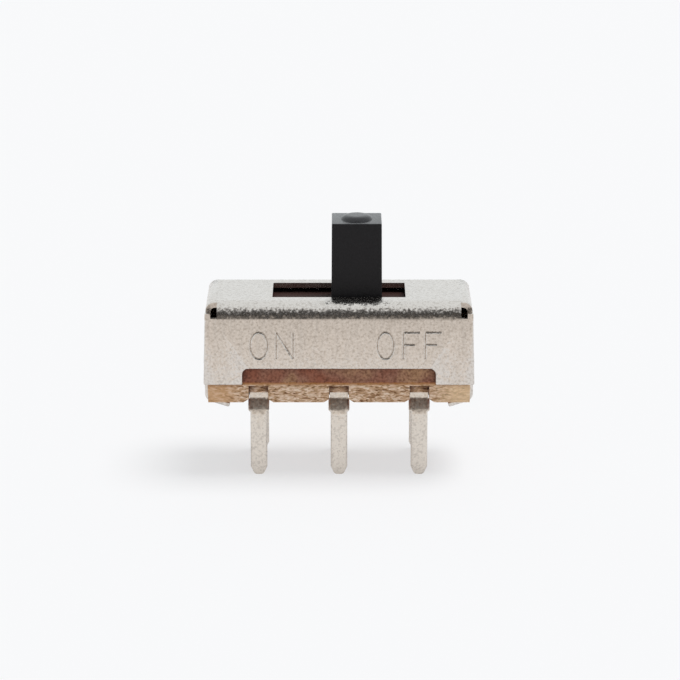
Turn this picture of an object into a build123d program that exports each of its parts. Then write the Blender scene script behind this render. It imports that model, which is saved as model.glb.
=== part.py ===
from build123d import *
from math import cos, radians, sqrt, tan
import os

# A miniature two-pole slide switch. A frame folded from thin sheet holds a terminal board from
# above, and a slider between them carries two spring clips over two rows of three terminals.
# Lengths are in mm. X runs along the slide, Y from front to back and Z up to the handle.
# The origin is under the middle of the switch, on the plane of the pin tips.

# Terminals, stamped and bent from strip
pin_pitch = 2.5
row_spacing = 2.5
pin_length = 2.43
strip = 0.25
stem_width = 0.57
ear_width = 0.66
ear_drop = 0.02
leg_width = 0.52
shoulder_drop = 0.34
shoulder_length = 0.06
tip_width = 0.28
tip_length = 0.26
tight_bend = 0.08
joggle = 0.27
joggle_height = 0.33
joggle_drop = 0.05
joggle_bend = 0.1
pad_width = 1.5
pad_corner = 0.12

# Terminal board, punched from laminate
board_thickness = 1.2
board_side_gap = 0.02
board_end_lap = 0.1
stem_slot_gap = 0.02
pin_notch_height = 0.53
pin_notch_depth = 0.3
pin_notch_flare = 0.16
pin_notch_flare_rise = 0.1
break_out_height = 0.23
tab_notch_gap = 0.03

# Frame, folded from sheet
sheet = 0.16
frame_length = 8.24
frame_width = 3.5
cavity_height = 1.83
long_bend = 0.56
end_bend = 0.29
relief_length = 0.2
relief_depth = 0.36
relief_drop = 0.45
relief_slit = 0.02
horn_drop = 0.3
long_wall_overhang_top = 0.01
long_wall_overhang_bottom = 0.07
end_wall_lean = 0.07
fold_seam = 0.04
cutout_width = 5.97
cutout_lap = 0.08
cutout_round = 0.18
leg_lap = 0.595
handle_slot_length = 4.13
handle_slot_width = 1.73
handle_slot_round = 0.05
tab_width = 1.7
tab_reach = 0.77
tab_bend = 0.12
tab_crimp_angle = 72
tab_board_gap = 0.02

# Slider, moulded in one piece, shown at rest a little to the right of the middle
travel = 2.0
rest_offset = 0.55
stop_gap = 0.02
slide_gap = 0.05
plate_gap = 0.15
pad_gap = 0.1
keel_width = 0.6
keel_board_gap = 0.03
keel_terminal_gap = 0.12
handle_length = 1.57
handle_width = 1.5
handle_rise = 2.3
handle_draft_angle = 0.3
handle_edge_round = 0.03
pip_diameter = 0.98
pip_height = 0.12
pip_edge_round = 0.11

# Contact clips, bent from spring strip
clip_thickness = 0.1
clip_width = 0.34
clip_slope_angle = 28
clip_hump_radius = 0.25
clip_end_run = 0.75
clip_pad_gap = 0.02
clip_pocket_gap = 0.04

# How far a cut runs past the faces it opens
overrun = 0.5

# Levels that follow from the sizes above
board_bottom = pin_length
board_top = board_bottom + board_thickness
pad_top = board_top + strip
plate_under = board_top + cavity_height
plate_top = plate_under + sheet
handle_top = plate_top + handle_rise

# Half sizes of the space inside the frame
inside_half_length = frame_length / 2 - sheet
inside_half_width = frame_width / 2 - sheet

# Distances of a terminal's bends from the middle of the switch
leg_centre = row_spacing / 2
stem_centre = leg_centre - joggle
pad_outer = stem_centre - strip / 2 - tight_bend
pad_inner = keel_width / 2 + keel_terminal_gap
clip_centre = (pad_inner + pad_outer) / 2


def both_sides(solid, plane):
    """The solid and its mirror image."""
    return solid + mirror(solid, plane)


def strip_along(path, width, thickness, across):
    """A flat strip bent along a path, with its width in the direction across."""
    start = Plane(origin=path @ 0, x_dir=across, z_dir=path % 0)
    return sweep(start * Rectangle(width, thickness), path=path)


def folded_channel(plane, across, bend, bottom, along):
    """The flat top with two bends and two walls, as folded from the sheet."""
    outside = Pos(0, plate_top) * Rectangle(across, plate_top - bottom, align=(Align.CENTER, Align.MAX))
    outside = fillet(outside.vertices().group_by(Axis.Y)[-1], bend)
    inside = Pos(0, plate_under) * Rectangle(
        across - 2 * sheet, plate_top - bottom, align=(Align.CENTER, Align.MAX)
    )
    inside = fillet(inside.vertices().group_by(Axis.Y)[-1], bend - sheet)
    return extrude(plane * (outside - inside), along / 2, both=True)


def make_frame():
    """The folded frame, with its corner reliefs, wall cut-outs, handle slot and crimped end tabs."""
    leg_bottom = board_top - leg_lap
    horn_top = plate_top - horn_drop
    relief_bottom = plate_top - relief_drop
    fold_end = inside_half_length - relief_length
    wall_end_top = frame_length / 2 + long_wall_overhang_top
    wall_end_bottom = frame_length / 2 + long_wall_overhang_bottom
    half_outline = [
        (wall_end_bottom, leg_bottom),
        (wall_end_top, horn_top),
        (inside_half_length, horn_top),
        (inside_half_length, relief_bottom),
        (fold_end, relief_bottom),
        (fold_end, plate_top),
    ]
    other_half = [(-x, z) for x, z in reversed(half_outline)]
    outline = make_face(Polyline(*half_outline, *other_half, close=True))
    frame = folded_channel(Plane.YZ, frame_width, long_bend, leg_bottom, 2 * wall_end_bottom)
    frame &= extrude(Plane.XZ * outline, frame_width / 2, both=True)

    flap_start = fold_end + relief_slit
    flaps = folded_channel(Plane.XZ, frame_length, end_bend, relief_bottom, frame_width - 2 * relief_depth)
    flaps -= Box(
        2 * flap_start, frame_width, plate_top + overrun, align=(Align.CENTER, Align.CENTER, Align.MIN)
    )
    plate = Pos(0, 0, plate_under) * Box(
        2 * flap_start, frame_width - 2 * long_bend, sheet, align=(Align.CENTER, Align.CENTER, Align.MIN)
    )
    end_outline = Polyline(
        (inside_half_length, relief_bottom),
        (inside_half_length + sheet, relief_bottom),
        (inside_half_length + sheet + end_wall_lean, board_top),
        (inside_half_length + end_wall_lean, board_top),
        close=True,
    )
    end_wall = extrude(Plane.XZ * make_face(end_outline), inside_half_width - fold_seam, both=True)
    frame += flaps + plate + both_sides(end_wall, Plane.YZ)

    cutout_top = board_top - cutout_lap
    cutout = Pos(0, cutout_top) * Rectangle(
        cutout_width, cutout_top - leg_bottom + overrun, align=(Align.CENTER, Align.MAX)
    )
    cutout = fillet(cutout.vertices().group_by(Axis.Y)[-1], cutout_round)
    frame -= extrude(Plane.XZ * cutout, frame_width / 2 + overrun, both=True)
    handle_slot = RectangleRounded(handle_slot_length, handle_slot_width, handle_slot_round)
    frame -= extrude(Plane.XY.offset(plate_under) * handle_slot, sheet + overrun, both=True)

    return frame + both_sides(make_tab(), Plane.YZ)


def make_tab():
    """The right end tab: down past the board's end, then crimped inwards under it."""
    centre_x = inside_half_length + end_wall_lean + sheet / 2
    notch_edge_sink = sqrt(tab_bend**2 - (tab_bend - tab_notch_gap) ** 2)
    bend_top = board_bottom + notch_edge_sink - tab_board_gap
    centre_bend = tab_bend + sheet / 2
    corner_z = bend_top - centre_bend * tan(radians(tab_crimp_angle / 2))
    tip_x = centre_x + sheet / 2 - tab_reach
    tip_z = corner_z - (centre_x - tip_x) / tan(radians(tab_crimp_angle))
    path = FilletPolyline(
        (centre_x, 0, board_top), (centre_x, 0, corner_z), (tip_x, 0, tip_z), radius=centre_bend
    )
    return strip_along(path, tab_width, sheet, (0, 1, 0))


def make_board():
    """The terminal board, with stem slots, pin notches and end notches for the tabs."""
    half_length = inside_half_length + board_end_lap
    half_width = inside_half_width - board_side_gap
    board = Pos(0, 0, board_bottom) * Box(
        2 * half_length, 2 * half_width, board_thickness, align=(Align.CENTER, Align.CENTER, Align.MIN)
    )
    slot_inner = pad_outer - stem_slot_gap
    slot_outer = stem_centre + strip / 2 + stem_slot_gap
    opening_width = stem_width + 2 * stem_slot_gap
    stem_slot = Pos(0, slot_inner, board_bottom - overrun) * Box(
        opening_width,
        slot_outer - slot_inner,
        board_thickness + 2 * overrun,
        align=(Align.CENTER, Align.MIN, Align.MIN),
    )
    notch_back = half_width - pin_notch_depth
    break_out = Pos(0, slot_inner, board_bottom - overrun) * Box(
        opening_width,
        notch_back - slot_inner + overrun,
        break_out_height + overrun,
        align=(Align.CENTER, Align.MIN, Align.MIN),
    )
    mouth_half_width = opening_width / 2 + pin_notch_flare
    half_outline = [
        (opening_width / 2, board_bottom + pin_notch_height),
        (opening_width / 2, board_bottom + pin_notch_flare_rise),
        (mouth_half_width, board_bottom),
        (mouth_half_width, board_bottom - overrun),
    ]
    other_half = [(-x, z) for x, z in reversed(half_outline)]
    outline = make_face(Polyline(*half_outline, *other_half, close=True))
    pin_notch = Pos(0, notch_back, 0) * extrude(Plane.XZ * outline, -(pin_notch_depth + overrun))
    for column in (-1, 0, 1):
        opening = Pos(column * pin_pitch, 0, 0) * (stem_slot + break_out + pin_notch)
        board -= both_sides(opening, Plane.XZ)

    notch_depth = board_end_lap - end_wall_lean + tab_notch_gap
    tab_notch = Pos(half_length - notch_depth, 0, board_bottom - overrun) * Box(
        notch_depth + overrun,
        tab_width + 2 * tab_notch_gap,
        board_thickness + 2 * overrun,
        align=(Align.MIN, Align.CENTER, Align.MIN),
    )
    return board - both_sides(tab_notch, Plane.YZ)


def make_terminal():
    """A rear terminal in the middle column: pad on the board, stem, joggle and pin."""
    joggle_top = board_bottom - joggle_drop
    centre_bend = tight_bend + strip / 2
    centre_joggle_bend = joggle_bend + strip / 2
    path = FilletPolyline(
        (0, pad_inner, board_top + strip / 2),
        (0, stem_centre, board_top + strip / 2),
        (0, stem_centre, joggle_top),
        (0, leg_centre, joggle_top - joggle_height),
        (0, leg_centre, 0),
        radius=[centre_bend, centre_joggle_bend, centre_joggle_bend],
    )
    bent_strip = strip_along(path, pad_width, strip, (1, 0, 0))

    ear_top = board_bottom - ear_drop
    shoulder_z = board_bottom - shoulder_drop
    half_outline = [
        (pad_width / 2, pad_top + overrun),
        (pad_width / 2, board_top),
        (stem_width / 2, board_top),
        (stem_width / 2, ear_top),
        (ear_width / 2, ear_top - shoulder_length),
        (ear_width / 2, shoulder_z),
        (leg_width / 2, shoulder_z - shoulder_length),
        (leg_width / 2, tip_length),
        (tip_width / 2, 0),
    ]
    other_half = [(-x, z) for x, z in reversed(half_outline)]
    outline = make_face(Polyline(*half_outline, *other_half, close=True))
    terminal = bent_strip & extrude(Plane.XZ * outline, -(frame_width / 2))
    pad_corners = terminal.edges().filter_by(Axis.Z).group_by(Axis.Z)[-1].group_by(Axis.Y)[0]
    return fillet(pad_corners, pad_corner)


def clip_path():
    """The clip's centre line: an end, a hump, the bow, the second hump and the other end."""
    slope = radians(clip_slope_angle)
    centre_radius = clip_hump_radius - clip_thickness / 2
    lift = centre_radius * (1 / cos(slope) - 1)
    low = pad_top + clip_pad_gap + clip_thickness / 2 - lift
    hump_x = pin_pitch / 2
    end_z = low + clip_end_run * tan(slope)
    points = [
        (-hump_x - clip_end_run, 0, end_z),
        (-hump_x, 0, low),
        (0, 0, low + hump_x * tan(slope)),
        (hump_x, 0, low),
        (hump_x + clip_end_run, 0, end_z),
    ]
    return FilletPolyline(*points, radius=centre_radius)


def make_clip():
    """A contact clip centred over the middle of the switch, before it is moved into its pocket."""
    return strip_along(clip_path(), clip_width, clip_thickness, (0, 1, 0))


def make_slider():
    """The slider: a block under the plate, a keel on the board, two clip pockets and the handle."""
    block_top = plate_under - plate_gap
    block_bottom = pad_top + pad_gap
    block_length = 2 * (inside_half_length - stop_gap) - travel
    block_width = 2 * (inside_half_width - slide_gap)
    section = Pos(0, block_top) * Rectangle(
        block_width, block_top - block_bottom, align=(Align.CENTER, Align.MAX)
    )
    section = fillet(section.vertices().group_by(Axis.Y)[-1], long_bend - sheet)
    block = extrude(Plane.YZ * section, block_length / 2, both=True)
    end_round = end_bend - sheet
    block = fillet(block.faces().filter_by(Axis.X).edges(), end_round)
    keel_bottom = board_top + keel_board_gap
    block += Pos(0, 0, keel_bottom) * Box(
        block_length - 2 * end_round,
        keel_width,
        block_top - keel_bottom,
        align=(Align.CENTER, Align.CENTER, Align.MIN),
    )

    clip_box = clip_path().bounding_box()
    pocket_top = clip_box.max.Z + clip_thickness / 2
    pocket = Pos(0, clip_centre, block_bottom - overrun) * Box(
        clip_box.size.X + clip_thickness + 2 * clip_pocket_gap,
        clip_width + 2 * clip_pocket_gap,
        pocket_top - block_bottom + overrun,
        align=(Align.CENTER, Align.CENTER, Align.MIN),
    )
    block -= both_sides(pocket, Plane.XZ)

    foot = Plane.XY.offset(block_top) * Rectangle(handle_length, handle_width)
    handle = extrude(foot, handle_top - block_top, taper=handle_draft_angle)
    upright_edges = handle.edges().filter_by(lambda edge: edge.bounding_box().size.Z > handle_rise / 2)
    handle = fillet(upright_edges + handle.faces().sort_by(Axis.Z)[-1].edges(), handle_edge_round)

    pip = Pos(0, 0, handle_top) * Cylinder(
        pip_diameter / 2, pip_height, align=(Align.CENTER, Align.CENTER, Align.MIN)
    )
    pip = fillet(pip.faces().sort_by(Axis.Z)[-1].edges(), pip_edge_round)
    return block + handle + pip


def write(node, solid):
    """Write one piece under its node's name."""
    export_step(solid, os.path.join("parts", node + ".step"))


os.makedirs("parts", exist_ok=True)
write("frame", make_frame())
write("terminal_board", make_board())

rear_terminal = make_terminal()
for column, side in zip((-1, 0, 1), ("left", "middle", "right")):
    placed = Pos(column * pin_pitch, 0, 0) * rear_terminal
    write("terminal_rear_" + side, placed)
    write("terminal_front_" + side, mirror(placed, Plane.XZ))

at_rest = Pos(rest_offset, 0, 0)
write("slider", at_rest * make_slider())
rear_clip = at_rest * Pos(0, clip_centre, 0) * make_clip()
write("contact_clip_rear", rear_clip)
write("contact_clip_front", mirror(rear_clip, Plane.XZ))
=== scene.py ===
import bmesh
import bpy
from math import copysign, cos, hypot, pi, radians, sin
from mathutils import Matrix, Vector


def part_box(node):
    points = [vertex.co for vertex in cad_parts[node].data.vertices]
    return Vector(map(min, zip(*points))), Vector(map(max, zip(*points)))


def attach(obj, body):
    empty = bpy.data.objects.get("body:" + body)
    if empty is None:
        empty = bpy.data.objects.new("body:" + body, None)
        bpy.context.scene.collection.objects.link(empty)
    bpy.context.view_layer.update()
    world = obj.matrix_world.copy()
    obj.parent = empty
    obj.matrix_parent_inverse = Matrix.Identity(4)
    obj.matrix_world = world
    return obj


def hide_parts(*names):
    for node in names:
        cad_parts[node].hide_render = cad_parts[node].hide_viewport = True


# The frame is in metres. Sizes and places below are in millimetres, which mm turns into metres.
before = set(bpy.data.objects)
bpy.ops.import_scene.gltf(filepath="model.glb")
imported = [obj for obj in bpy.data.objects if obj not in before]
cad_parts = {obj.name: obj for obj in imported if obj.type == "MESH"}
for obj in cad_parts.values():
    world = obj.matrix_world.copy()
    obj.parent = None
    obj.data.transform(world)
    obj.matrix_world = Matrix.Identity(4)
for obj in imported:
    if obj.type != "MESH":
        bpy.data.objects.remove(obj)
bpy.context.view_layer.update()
mm = 0.001

# Terminal board
# The base of the switch is punched from a sheet of brown paper laminate, and the frame's tabs hold it.
# The punch shears the upper part of each edge smooth and tears the lower part, so that the layers of
# paper show there as a rough tan band.

tear_height = 3.03
tear_wobble = 0.08
tear_blend = 0.03
tear_line = 0.04
tear_line_share = 0.5
cloud_size = 1.1
fleck_size = 0.07
streak_size = (0.07, 0.07, 1.2)
fibre_size = (0.15, 0.15, 0.05)
fibre_relief = 0.03
end_tint_start = 2.9
end_tint_full = 3.6
end_tint_share = 0.6
flat_face = 0.6
side_face = 0.4
# How far, in mm, the painted shade in corners looks for surfaces that hide the light.
corner_shade = 0.3
notch_height = 0.53
notch_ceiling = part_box("terminal_board")[0][2] / mm + notch_height
notch_tolerance = 0.05


def linear(hex_colour):
    """The linear colour of an sRGB hex value, with an alpha of 1."""
    parts = [int(hex_colour[i : i + 2], 16) / 255 for i in (1, 3, 5)]
    return [c / 12.92 if c <= 0.04045 else ((c + 0.055) / 1.055) ** 2.4 for c in parts] + [1]


def add_node(tree, kind, sockets=None, stops=(), **settings):
    """Adds a node with its settings and, on a colour ramp, its stops. A socket takes a value, or
    another node's output as a link."""
    made = tree.nodes.new(kind)
    for name, value in settings.items():
        setattr(made, name, value)
    for name, value in (sockets or {}).items():
        if isinstance(value, bpy.types.NodeSocket):
            tree.links.new(value, made.inputs[name])
        else:
            made.inputs[name].default_value = value
    for index, (position, hex_colour) in enumerate(stops):
        if index == len(made.color_ramp.elements):
            made.color_ramp.elements.new(position)
        made.color_ramp.elements[index].position = position
        made.color_ramp.elements[index].color = linear(hex_colour)
    return made


def start_material(name):
    """A new material, its node tree and main shader, and the place on the piece in mm."""
    material = bpy.data.materials.new(name)
    material.use_nodes = True
    tree = material.node_tree
    metres = add_node(tree, "ShaderNodeTexCoord").outputs["Object"]
    place = add_node(tree, "ShaderNodeVectorMath", {0: metres, "Scale": 1 / mm}, operation="SCALE")
    return material, tree, tree.nodes["Principled BSDF"], place.outputs["Vector"]


def finish_nodes(material, *nodes):
    """Gives CAD nodes a finished material in place of their plain one."""
    for name in nodes:
        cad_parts[name].material_slots[0].material = material


# Paper-base phenolic laminate: satin brown with cloudy patches and fine flecks where it is sheared,
# and chalky tan fibres where it is torn.
laminate, tree, shader, place = start_material("paper phenolic laminate")
spot = add_node(tree, "ShaderNodeSeparateXYZ", {"Vector": place})
clouds = add_node(tree, "ShaderNodeTexNoise", {"Vector": place, "Scale": 1 / cloud_size, "Detail": 2})
sheared = add_node(
    tree,
    "ShaderNodeValToRGB",
    {"Fac": clouds.outputs["Fac"]},
    stops=[(0.36, "#9A5C44"), (0.5, "#A3715B"), (0.66, "#BC926C")],
)
flecks = add_node(tree, "ShaderNodeTexNoise", {"Vector": place, "Scale": 1 / fleck_size, "Detail": 2})
fleck_tones = add_node(
    tree,
    "ShaderNodeValToRGB",
    {"Fac": flecks.outputs["Fac"]},
    stops=[(0.3, "#B8A8A0"), (0.6, "#FFFFFF")],
)
flecked = add_node(
    tree,
    "ShaderNodeMix",
    {"Factor": 1, 6: sheared.outputs["Color"], 7: fleck_tones.outputs["Color"]},
    data_type="RGBA",
    blend_type="MULTIPLY",
)
fibre_place = add_node(
    tree, "ShaderNodeMapping", {"Vector": place, "Scale": [1 / size for size in fibre_size]}
)
fibres = add_node(
    tree,
    "ShaderNodeTexNoise",
    {"Vector": fibre_place.outputs["Vector"], "Scale": 1, "Detail": 4, "Distortion": 0.6},
)
torn = add_node(
    tree,
    "ShaderNodeValToRGB",
    {"Fac": fibres.outputs["Fac"]},
    stops=[(0.3, "#6B4226"), (0.4, "#B08760"), (0.52, "#DCB695"), (0.66, "#F8E0CA")],
)

# The torn fibres are paler towards the ends of the board, and most at its right end.
from_middle = add_node(tree, "ShaderNodeMath", {0: spot.outputs["X"]}, operation="ABSOLUTE")
end_tint = add_node(
    tree,
    "ShaderNodeMapRange",
    {
        "Value": from_middle.outputs["Value"],
        "From Min": end_tint_start,
        "From Max": end_tint_full,
        "To Max": end_tint_share,
    },
)
left_to_right = add_node(
    tree,
    "ShaderNodeMapRange",
    {"Value": spot.outputs["X"], "From Min": -end_tint_start, "From Max": end_tint_start},
)
end_colour = add_node(
    tree,
    "ShaderNodeMix",
    {"Factor": left_to_right.outputs["Result"], 6: linear("#E8B686"), 7: linear("#FFDCB0")},
    data_type="RGBA",
)
tinted = add_node(
    tree,
    "ShaderNodeMix",
    {"Factor": end_tint.outputs["Result"], 6: torn.outputs["Color"], 7: end_colour.outputs[2]},
    data_type="RGBA",
)

# The tear begins along a line that wanders with the fibres. Only the sides are torn, while the flat
# faces keep the skin of the sheet.
wobble = add_node(
    tree,
    "ShaderNodeMath",
    {0: fibres.outputs["Fac"], 1: tear_wobble, 2: spot.outputs["Z"]},
    operation="MULTIPLY_ADD",
)
tear = add_node(
    tree,
    "ShaderNodeMapRange",
    {
        "Value": wobble.outputs["Value"],
        "From Min": tear_height + tear_wobble / 2 + tear_blend,
        "From Max": tear_height + tear_wobble / 2 - tear_blend,
    },
)
upright = add_node(tree, "ShaderNodeNewGeometry").outputs["Normal"]
sides = add_node(tree, "ShaderNodeSeparateXYZ", {"Vector": upright})
flatness = add_node(tree, "ShaderNodeMath", {0: sides.outputs["Z"]}, operation="ABSOLUTE")
on_sides = add_node(
    tree,
    "ShaderNodeMapRange",
    {"Value": flatness.outputs["Value"], "From Min": flat_face, "From Max": side_face},
)
torn_sides = add_node(
    tree,
    "ShaderNodeMath",
    {0: tear.outputs["Result"], 1: on_sides.outputs["Result"]},
    operation="MULTIPLY",
)
punched = add_node(
    tree,
    "ShaderNodeMix",
    {"Factor": torn_sides.outputs["Value"], 6: flecked.outputs[2], 7: tinted.outputs[2]},
    data_type="RGBA",
)

# A thin amber line of resin runs where the tear begins. Corners, notches and the board under the frame's
# edges get painted shade: an occlusion test darkens the colour to deep brown where little light reaches.
turning = add_node(
    tree,
    "ShaderNodeMath",
    {0: wobble.outputs["Value"], 1: tear_height + tear_wobble / 2, 2: tear_line},
    operation="COMPARE",
)
amber = add_node(
    tree, "ShaderNodeMapRange", {"Value": turning.outputs["Value"], "To Max": tear_line_share}
)
edged = add_node(
    tree,
    "ShaderNodeMix",
    {"Factor": amber.outputs["Result"], 6: punched.outputs[2], 7: linear("#B97830")},
    data_type="RGBA",
)
# Painted shade: the nearer other surfaces hide the light, the more the colour darkens.
openness = add_node(tree, "ShaderNodeAmbientOcclusion", {"Distance": corner_shade * mm}, samples=8)
shade = add_node(
    tree,
    "ShaderNodeValToRGB",
    {"Fac": openness.outputs["AO"]},
    stops=[(0.35, "#6E3A12"), (0.85, "#FFFFFF")],
)
shaded = add_node(
    tree,
    "ShaderNodeMix",
    {"Factor": 1, 6: edged.outputs[2], 7: shade.outputs["Color"]},
    data_type="RGBA",
    blend_type="MULTIPLY",
)

# The flat ceilings of the notches are painted pale grey. This is painted light: the pins' bends under them
# mirror it as a brighter reflection than the shaded ceilings would give.
at_ceiling = add_node(
    tree,
    "ShaderNodeMath",
    {0: spot.outputs["Z"], 1: notch_ceiling, 2: notch_tolerance},
    operation="COMPARE",
)
painted_light_on_ceilings = add_node(
    tree,
    "ShaderNodeMapRange",
    {"Value": on_sides.outputs["Result"], "To Min": at_ceiling.outputs["Value"], "To Max": 0},
)
colour = add_node(
    tree,
    "ShaderNodeMix",
    {"Factor": painted_light_on_ceilings.outputs["Result"], 6: shaded.outputs[2], 7: linear("#BCBBB8")},
    data_type="RGBA",
)
tree.links.new(colour.outputs[2], shader.inputs["Base Color"])
shader.inputs["Roughness"].default_value = 0.6
shader.inputs["Specular IOR Level"].default_value = 0.3

# The punch leaves upright streaks on the sheared part and frayed fibres on the torn part.
streak_place = add_node(
    tree, "ShaderNodeMapping", {"Vector": place, "Scale": [1 / size for size in streak_size]}
)
streaks = add_node(tree, "ShaderNodeTexNoise", {"Vector": streak_place.outputs["Vector"], "Scale": 1})
relief = add_node(
    tree,
    "ShaderNodeMix",
    {"Factor": torn_sides.outputs["Value"], 2: streaks.outputs["Fac"], 3: fibres.outputs["Fac"]},
)
bump = add_node(
    tree,
    "ShaderNodeBump",
    {"Height": relief.outputs[0], "Distance": fibre_relief * mm, "Strength": 0.8},
)
tree.links.new(bump.outputs["Normal"], shader.inputs["Normal"])
finish_nodes(laminate, "terminal_board")

# Terminals
# Six flat terminals are stamped from brass strip, tinned, pressed through the board and bent outwards
# under it into pins. The stamping rolls their edges over.

terminal_edge_roll = 0.08
rolled_top = 2.42
roll_segments = 3
sharp_turn = radians(50)
crease_turn = radians(40)
flat_turn = radians(1)
hair = 0.001
drawing_streak = (0.125, 0.125, 1.25)
streak_roughness = 0.05


def sheet_metal(name, colour, dull_colour, grain_size, tilt, bend_tilt, roughness, bend_roughness=0):
    """Sheet or strip with drawing streaks under its bright skin. The grains of the skin leave dull specks
    and tilt the surface a little, and more where a bend stretches them, where bend_roughness also dulls
    it. Real grains are finer, and grain_size is as coarse as they need to be to show."""
    material, tree, shader, place = start_material(name)
    shader.inputs["Metallic"].default_value = 1
    grains = add_node(tree, "ShaderNodeTexNoise", {"Vector": place, "Scale": 1 / grain_size, "Detail": 1})
    specks = add_node(
        tree,
        "ShaderNodeValToRGB",
        {"Fac": grains.outputs["Fac"]},
        stops=[(0.3, dull_colour), (0.52, colour)],
    )
    tree.links.new(specks.outputs["Color"], shader.inputs["Base Color"])

    # Y times Z of the normal is nothing on a flat wall or plate, and a half midway round a bend.
    upright = add_node(tree, "ShaderNodeNewGeometry").outputs["Normal"]
    sides = add_node(tree, "ShaderNodeSeparateXYZ", {"Vector": upright})
    slant = add_node(
        tree, "ShaderNodeMath", {0: sides.outputs["Y"], 1: sides.outputs["Z"]}, operation="MULTIPLY"
    )
    bent = add_node(tree, "ShaderNodeMath", {0: slant.outputs["Value"]}, operation="ABSOLUTE")
    tilt_here = add_node(
        tree,
        "ShaderNodeMath",
        {0: bent.outputs["Value"], 1: 2 * bend_tilt, 2: tilt},
        operation="MULTIPLY_ADD",
    )
    lean = add_node(
        tree, "ShaderNodeVectorMath", {0: grains.outputs["Color"], 1: [0.5] * 3}, operation="SUBTRACT"
    )
    lean_here = add_node(
        tree,
        "ShaderNodeVectorMath",
        {0: lean.outputs["Vector"], "Scale": tilt_here.outputs["Value"]},
        operation="SCALE",
    )
    tilted = add_node(
        tree, "ShaderNodeVectorMath", {0: upright, 1: lean_here.outputs["Vector"]}, operation="ADD"
    )
    facing = add_node(tree, "ShaderNodeVectorMath", {0: tilted.outputs["Vector"]}, operation="NORMALIZE")
    tree.links.new(facing.outputs["Vector"], shader.inputs["Normal"])

    streak_place = add_node(
        tree, "ShaderNodeMapping", {"Vector": place, "Scale": [1 / size for size in drawing_streak]}
    )
    streaks = add_node(
        tree, "ShaderNodeTexNoise", {"Vector": streak_place.outputs["Vector"], "Scale": 1, "Detail": 3}
    )
    rough = add_node(
        tree,
        "ShaderNodeMapRange",
        {
            "Value": streaks.outputs["Fac"],
            "From Min": 0.3,
            "From Max": 0.7,
            "To Min": roughness - streak_roughness,
            "To Max": roughness + streak_roughness,
        },
    )
    rough_here = add_node(
        tree,
        "ShaderNodeMath",
        {0: bent.outputs["Value"], 1: 2 * bend_roughness, 2: rough.outputs["Result"]},
        operation="MULTIPLY_ADD",
    )
    tree.links.new(rough_here.outputs["Value"], shader.inputs["Roughness"])
    return material


def work_copy(node):
    """A copy of a CAD node's mesh in mm, with its loose triangles joined into whole faces."""
    bm = bmesh.new()
    bm.from_mesh(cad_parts[node].data)
    bm.transform(Matrix.Scale(1 / mm, 4))
    bmesh.ops.remove_doubles(bm, verts=bm.verts, dist=hair)
    bmesh.ops.dissolve_limit(bm, angle_limit=flat_turn, verts=bm.verts, edges=bm.edges)
    return bm


def smooth_faces(bm, sharp_from):
    """Shades a mesh smoothly, but for the edges that turn by more than an angle."""
    for face in bm.faces:
        face.smooth = True
    for edge in bm.edges:
        edge.smooth = edge.calc_face_angle(pi) < sharp_from


def roll_edges(bm, width, top):
    """Rounds the sharp edges of a stamped piece, up to a height."""
    everything = bm.verts[:] + bm.edges[:] + bm.faces[:]
    bmesh.ops.bisect_plane(bm, geom=everything, plane_co=(0, 0, top), plane_no=(0, 0, 1))
    low = [edge for edge in bm.edges if max(vert.co.z for vert in edge.verts) < top + width / 10]
    sharp = [edge for edge in low if edge.calc_face_angle() > sharp_turn]
    bmesh.ops.bevel(
        bm, geom=sharp, offset=width, segments=roll_segments, profile=0.5, affect="EDGES", material=-1
    )
    smooth_faces(bm, crease_turn)


def mesh_from(name, bm):
    """Makes a mesh of triangles, which are cut before it shrinks from mm, and lets go of the copy."""
    bmesh.ops.triangulate(bm, faces=bm.faces)
    mesh = bpy.data.meshes.new(name)
    bm.to_mesh(mesh)
    bm.free()
    return mesh


def put_in_scene(name, data):
    """A new object at the origin, linked to the scene."""
    made = bpy.data.objects.new(name, data)
    bpy.context.scene.collection.objects.link(made)
    return made


def stand_for(node, mesh, material, body):
    """A finished piece, from a mesh in mm, in the place of a CAD node."""
    mesh.transform(Matrix.Scale(mm, 4))
    mesh.materials.clear()
    mesh.materials.append(material)
    piece = put_in_scene(node + "_dressed", mesh)
    piece.modifiers.new("flat faces shade flat", "WEIGHTED_NORMAL").keep_sharp = True
    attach(piece, body)
    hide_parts(node)


# Tin over brass: a warm silver, bright on the flat, and pitted and dull where it is bent.
tinned = sheet_metal(
    "tinned brass",
    colour="#DCD4CA",
    dull_colour="#C8C0B7",
    grain_size=0.07,
    tilt=0.2,
    bend_tilt=1,
    roughness=0.22,
    bend_roughness=0.4,
)
for row in ("front", "rear"):
    for side in ("left", "middle", "right"):
        node = f"terminal_{row}_{side}"
        bm = work_copy(node)
        roll_edges(bm, terminal_edge_roll, rolled_top)
        stand_for(node, mesh_from(node, bm), tinned, "housing")

# Contact clips
# Two clips are bent from bare phosphor bronze strip. They ride in pockets in the slider's underside,
# and each bridges two terminals of its row.

# Phosphor bronze: a reddish gold with a fine, even grain from rolling.
bronze = sheet_metal(
    "phosphor bronze",
    colour="#C79A6B",
    dull_colour="#B08050",
    grain_size=0.05,
    tilt=0.1,
    bend_tilt=0.1,
    roughness=0.25,
)
finish_nodes(bronze, "contact_clip_front", "contact_clip_rear")

# Slider
# The slider and its handle are one moulding of black acetal, with a round pip left on the handle's top.
# Its block runs under the frame's plate, and the grease on it shows brown through the slot.

greased_below = 5.6
grease_edge = 0.05
polished_from = 7.89
polish_edge = 0.02
skin_grain = 0.06
skin_relief = 0.006
moulded_turn = radians(50)
handle_top = 7.92
slider_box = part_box("slider")
handle_x = (slider_box[0][0] + slider_box[1][0]) / 2 / mm
pip_radius = 0.505
pip_height = 0.13
pip_fullness = 6
pip_sink = 0.005
pip_rings = 12
pip_segments = 48

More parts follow.
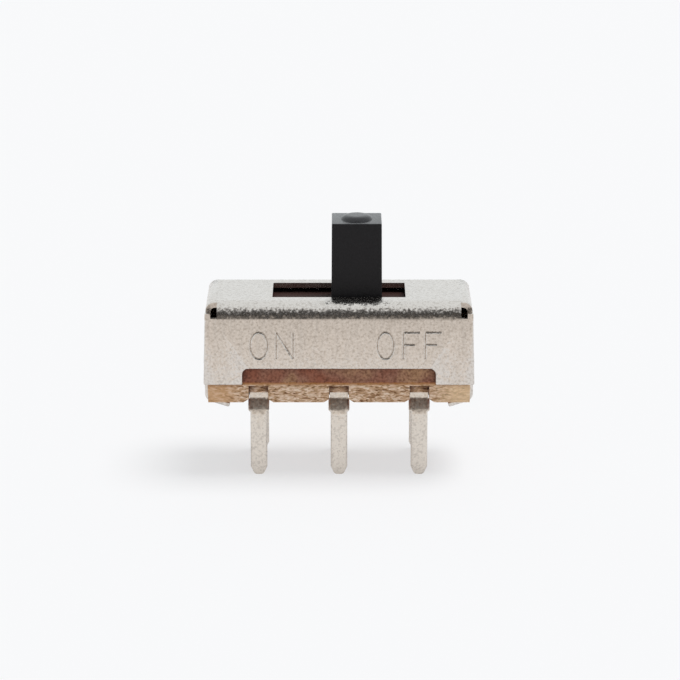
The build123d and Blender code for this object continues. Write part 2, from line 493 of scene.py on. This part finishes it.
# Acetal: a matt black skin with a faint grain from the mould, rubbed glossy on the handle's top, and
# with a brown film of grease low down.
acetal, tree, shader, place = start_material("black moulded acetal")
shader.inputs["IOR"].default_value = 1.54
spot = add_node(tree, "ShaderNodeSeparateXYZ", {"Vector": place})
above = add_node(
    tree,
    "ShaderNodeMapRange",
    {"Value": spot.outputs["Z"], "From Min": greased_below - grease_edge, "From Max": greased_below},
)
tint = add_node(
    tree,
    "ShaderNodeMix",
    {"Factor": above.outputs["Result"], 6: linear("#3A2420"), 7: linear("#121015")},
    data_type="RGBA",
)
tree.links.new(tint.outputs[2], shader.inputs["Base Color"])
polish = add_node(
    tree,
    "ShaderNodeMapRange",
    {
        "Value": spot.outputs["Z"],
        "From Min": polished_from,
        "From Max": polished_from + polish_edge,
        "To Min": 0.75,
        "To Max": 0.22,
    },
)
tree.links.new(polish.outputs["Result"], shader.inputs["Roughness"])
grain = add_node(tree, "ShaderNodeTexNoise", {"Vector": place, "Scale": 1 / skin_grain, "Detail": 2})
bump = add_node(tree, "ShaderNodeBump", {"Height": grain.outputs["Fac"], "Distance": skin_relief * mm})
tree.links.new(bump.outputs["Normal"], shader.inputs["Normal"])

# The plain pip of the solid is pressed flat, and a spun dome takes its place.
bm = work_copy("slider")
for vert in bm.verts:
    vert.co.z = min(vert.co.z, handle_top)
smooth_faces(bm, moulded_turn)
pip = []
for step in range(pip_rings + 1):
    reach = step / pip_rings
    rise = pip_height * (1 - reach**pip_fullness)
    pip.append(bm.verts.new((handle_x + reach * pip_radius, 0, handle_top + rise - pip_sink)))
slope = [bm.edges.new(pair) for pair in zip(pip, pip[1:])]
bmesh.ops.spin(
    bm,
    geom=pip + slope,
    cent=(handle_x, 0, 0),
    axis=(0, 0, 1),
    angle=2 * pi,
    steps=pip_segments,
    use_merge=True,
)
domed = [face for face in bm.faces if min(vert.co.z for vert in face.verts) > handle_top - 2 * pip_sink]
domed = [face for face in domed if max(vert.co.z for vert in face.verts) > handle_top + pip_sink]
for face in domed:
    face.smooth = True
bmesh.ops.remove_doubles(bm, verts=bm.verts, dist=hair / 2)
bmesh.ops.recalc_face_normals(bm, faces=bm.faces)
stand_for("slider", mesh_from("slider", bm), acetal, "slide")

# Frame
# The frame is punched and folded from thin steel sheet and nickel plated, and its two tabs are crimped
# under the board. ON and OFF are struck into the front wall with a narrow tool, which leaves grooves
# with a V section.

frame_edge_roll = 0.05
frame_rolled_top = 5.1
groove_width = 0.09
groove_depth = 0.036
tool_lift = 0.004
round_steps = 40
letter_base = 3.883
letter_middle = 4.34
letter_top = 4.733
round_letters = [(-2.471, 0.268), (1.437, 0.253)]
strokes = [
    ((-1.934, letter_base), (-1.934, letter_top)),
    ((-1.934, letter_top), (-1.415, letter_base)),
    ((-1.415, letter_base), (-1.415, letter_top)),
    ((1.989, letter_base), (1.989, letter_top)),
    ((1.989, letter_top), (2.492, letter_top)),
    ((1.989, letter_middle), (2.335, letter_middle)),
    ((2.668, letter_base), (2.668, letter_top)),
    ((2.668, letter_top), (3.156, letter_top)),
    ((2.668, letter_middle), (3.023, letter_middle)),
]
wall_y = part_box("frame")[0][1] / mm
sheet = 0.16
bend_start = 5.06
bend_radius = 0.56
relief_depth = 0.36
flap_edge = -wall_y - relief_depth
flap_start = 3.775
flap_bottom = 5.2
flap_roll = 0.12
flap_droop = 0.03
slit_edge = 3.78
slit_closed = 3.762
near = 0.005

# The tool has a bar with a diamond section for each straight stroke, and a bent ring of it for each O.
tool = bmesh.new()
for (x0, z0), (x1, z1) in strokes:
    run = Vector((x1 - x0, 0, z1 - z0))
    heading = run.normalized()
    turn = Matrix((heading.cross((0, 1, 0)), (0, 1, 0), heading)).transposed().to_4x4()
    middle = Matrix.Translation(((x0 + x1) / 2, 0, (z0 + z1) / 2))
    bmesh.ops.create_cone(
        tool,
        cap_ends=True,
        segments=4,
        radius1=groove_width / 2,
        radius2=groove_width / 2,
        depth=run.length,
        matrix=middle @ turn,
    )
half_height = (letter_top - letter_base) / 2
for centre_x, half_width in round_letters:
    bars = set(tool.verts)
    section = bmesh.ops.create_circle(
        tool, segments=4, radius=groove_width / 2, matrix=Matrix.Translation((half_height, 0, 0))
    )["verts"]
    around = [edge for edge in tool.edges if all(vert in section for vert in edge.verts)]
    bmesh.ops.spin(
        tool,
        geom=section + around,
        cent=(0, 0, 0),
        axis=(0, 1, 0),
        angle=2 * pi,
        steps=round_steps,
        use_merge=True,
    )
    for vert in set(tool.verts) - bars:
        vert.co.x *= 1 - (half_height - half_width) / hypot(vert.co.x, vert.co.z)
        vert.co += Vector((centre_x, 0, letter_base + half_height))
bmesh.ops.recalc_face_normals(tool, faces=tool.faces)
shallow = Matrix.Scale(groove_depth / (groove_width / 2), 4, (0, 1, 0))
tool.transform(Matrix.Translation((0, wall_y - tool_lift, 0)) @ shallow)
tool_piece = put_in_scene("letter_tool", mesh_from("letter_tool", tool))

# At each corner relief the end of the short fold is a free flap, which is cut so that its edge can droop.
bm = work_copy("frame")
for side in (-1, 1):
    everything = bm.verts[:] + bm.edges[:] + bm.faces[:]
    bmesh.ops.bisect_plane(bm, geom=everything, plane_co=(side * flap_start, 0, 0), plane_no=(1, 0, 0))
for side in (-1, 1):
    flaps = [face for face in bm.faces if all(abs(vert.co.x) > flap_start - hair for vert in face.verts)]
    flaps = [face for face in flaps if all(vert.co.z > flap_bottom for vert in face.verts)]
    edges = dict.fromkeys(edge for face in flaps for edge in face.edges)
    verts = dict.fromkeys(vert for face in flaps for vert in face.verts)
    bmesh.ops.bisect_plane(
        bm,
        geom=flaps + list(edges) + list(verts),
        plane_co=(0, side * (flap_edge - flap_roll), 0),
        plane_no=(0, 1, 0),
    )

# The flaps droop, the folds close the slits over the relief holes, and the corners of the long walls,
# which the reliefs set free of the fold, stand straight.
for vert in bm.verts:
    if abs(abs(vert.co.y) - flap_edge) < near and vert.co.z > flap_bottom:
        vert.co.z -= flap_droop
    if abs(abs(vert.co.x) - slit_edge) < hair and vert.co.z > flap_bottom:
        vert.co.x *= slit_closed / slit_edge
    beside_flap = abs(vert.co.x) > flap_start - hair and abs(vert.co.y) > flap_edge + 2 * near
    if beside_flap and vert.co.z > bend_start:
        from_axis = hypot(abs(vert.co.y) + wall_y + bend_radius, vert.co.z - bend_start)
        outside = from_axis > bend_radius - sheet / 2
        vert.co.y = copysign(-wall_y if outside else -wall_y - sheet, vert.co.y)
bm.normal_update()
roll_edges(bm, frame_edge_roll, frame_rolled_top)

blank = put_in_scene("frame_blank", mesh_from("frame_blank", bm))
strike = blank.modifiers.new("struck letters", "BOOLEAN")
strike.operation = "DIFFERENCE"
strike.solver = "EXACT"
strike.use_self = True
strike.object = tool_piece
bm = bmesh.new()
bm.from_object(blank, bpy.context.evaluated_depsgraph_get())
struck = mesh_from("frame_struck", bm)
bpy.data.objects.remove(blank)
bpy.data.objects.remove(tool_piece)

# Nickel over steel: a pale, slightly warm silver with a fine grain, which breaks up what the folds mirror.
nickel = sheet_metal(
    "nickel-plated steel",
    colour="#DAD4CE",
    dull_colour="#C4BDB6",
    grain_size=0.08,
    tilt=0.2,
    bend_tilt=0.5,
    roughness=0.25,
)
stand_for("frame", struck, nickel, "housing")

# Stage
# A plain floor of white paper lies under a white sky and one soft lamp. A dark card with a pale, warm foot
# stands in front of the switch. It is not lit but glows with painted tones. Only reflections show it: as a
# painted reflection it draws the dark line along the fold.

floor_half = 1000 * mm
floor_glow = 0.63
card_half_width = 20 * mm
card_low = Vector((0, -11.5 * mm, 0))
card_high = Vector((0, -38 * mm, 125 * mm))
sky_light = 0.4


def background_rays(tree):
    """1 where the camera or a reflection sees the background, and 0 where the background lights a piece."""
    paths = add_node(tree, "ShaderNodeLightPath")
    seen = add_node(
        tree,
        "ShaderNodeMath",
        {0: paths.outputs["Is Camera Ray"], 1: paths.outputs["Is Glossy Ray"]},
        operation="MAXIMUM",
    )
    return seen.outputs["Value"]


bm = bmesh.new()
bmesh.ops.create_grid(bm, x_segments=1, y_segments=1, size=floor_half)
floor = put_in_scene("floor", mesh_from("floor", bm))

# White paper: matt, and even all over but for the switch's soft shadow.
paper, tree, shader, _ = start_material("white floor paper")
shader.inputs["Base Color"].default_value = linear("#F8F8F9")
shader.inputs["Roughness"].default_value = 0.9
shader.inputs["Specular IOR Level"].default_value = 0
share = add_node(tree, "ShaderNodeMath", {0: background_rays(tree), 1: floor_glow}, operation="MULTIPLY")
glow = add_node(tree, "ShaderNodeEmission", {"Color": linear("#FBFBFC"), "Strength": 1})
lit = add_node(
    tree,
    "ShaderNodeMixShader",
    {0: share.outputs["Value"], 1: shader.outputs["BSDF"], 2: glow.outputs["Emission"]},
)
tree.links.new(lit.outputs["Shader"], tree.nodes["Material Output"].inputs["Surface"])
floor.data.materials.append(paper)

across = Vector((2 * card_half_width, 0, 0))
along = card_high - card_low
lean = Matrix((across, along, across.cross(along).normalized())).transposed().to_4x4()
bm = bmesh.new()
bmesh.ops.create_grid(bm, x_segments=1, y_segments=1, size=0.5)
bm.transform(Matrix.Translation((card_low + card_high) / 2) @ lean)
card = put_in_scene("dark_card", mesh_from("dark_card", bm))
card.visible_camera = False
card.visible_diffuse = False
card.visible_shadow = False

# Dark card: a painted glow, darkest a little above its foot, and paler again towards its top.
glowing_card_material, tree, _, place = start_material("dark card")
spot = add_node(tree, "ShaderNodeSeparateXYZ", {"Vector": place})
fade = add_node(
    tree,
    "ShaderNodeMapRange",
    {"Value": spot.outputs["Z"], "From Min": card_low.z / mm, "From Max": card_high.z / mm},
)
tones = add_node(
    tree,
    "ShaderNodeValToRGB",
    {"Fac": fade.outputs["Result"]},
    stops=[
        (0.004, "#FDF5ED"),
        (0.054, "#9B9690"),
        (0.067, "#686460"),
        (0.096, "#484644"),
        (0.145, "#484848"),
        (0.26, "#808080"),
        (0.57, "#E0E0E0"),
    ],
)
glow = add_node(tree, "ShaderNodeEmission", {"Color": tones.outputs["Color"], "Strength": 1})
tree.links.new(glow.outputs["Emission"], tree.nodes["Material Output"].inputs["Surface"])
card.data.materials.append(glowing_card_material)

world = bpy.data.worlds.new("white studio")
world.use_nodes = True
tree = world.node_tree
strength = add_node(
    tree,
    "ShaderNodeMapRange",
    {"Value": background_rays(tree), "To Min": sky_light, "To Max": 1},
)
tree.links.new(strength.outputs["Result"], tree.nodes["Background"].inputs["Strength"])
tree.nodes["Background"].inputs["Color"].default_value = linear("#F8FDFF")
bpy.context.scene.world = world

lamp_data = bpy.data.lights.new("overhead light", "SUN")
lamp_data.energy = 1.95
lamp_data.angle = radians(32)
lamp = put_in_scene("overhead_light", lamp_data)
lamp.rotation_euler = (radians(-3), radians(18), 0)
lamp.visible_glossy = False

# Camera
# It stands as in the photograph, in front of the switch and a little above it, with a long lens, and
# looks at the middle of the switch.

camera_height_angle = radians(16)
camera_distance = 96 * mm
camera_target = Vector((0.032, 0, 3.992)) * mm
look = Vector((0, cos(camera_height_angle), -sin(camera_height_angle)))
camera_data = bpy.data.cameras.new("camera")
camera_data.lens = 161.9
camera_data.sensor_width = 36
camera_data.clip_start = 1 * mm
camera = put_in_scene("camera", camera_data)
camera.location = camera_target - camera_distance * look
camera.rotation_euler = (pi / 2 - camera_height_angle, 0, 0)
bpy.context.scene.camera = camera
bpy.context.scene.view_settings.view_transform = "Standard"
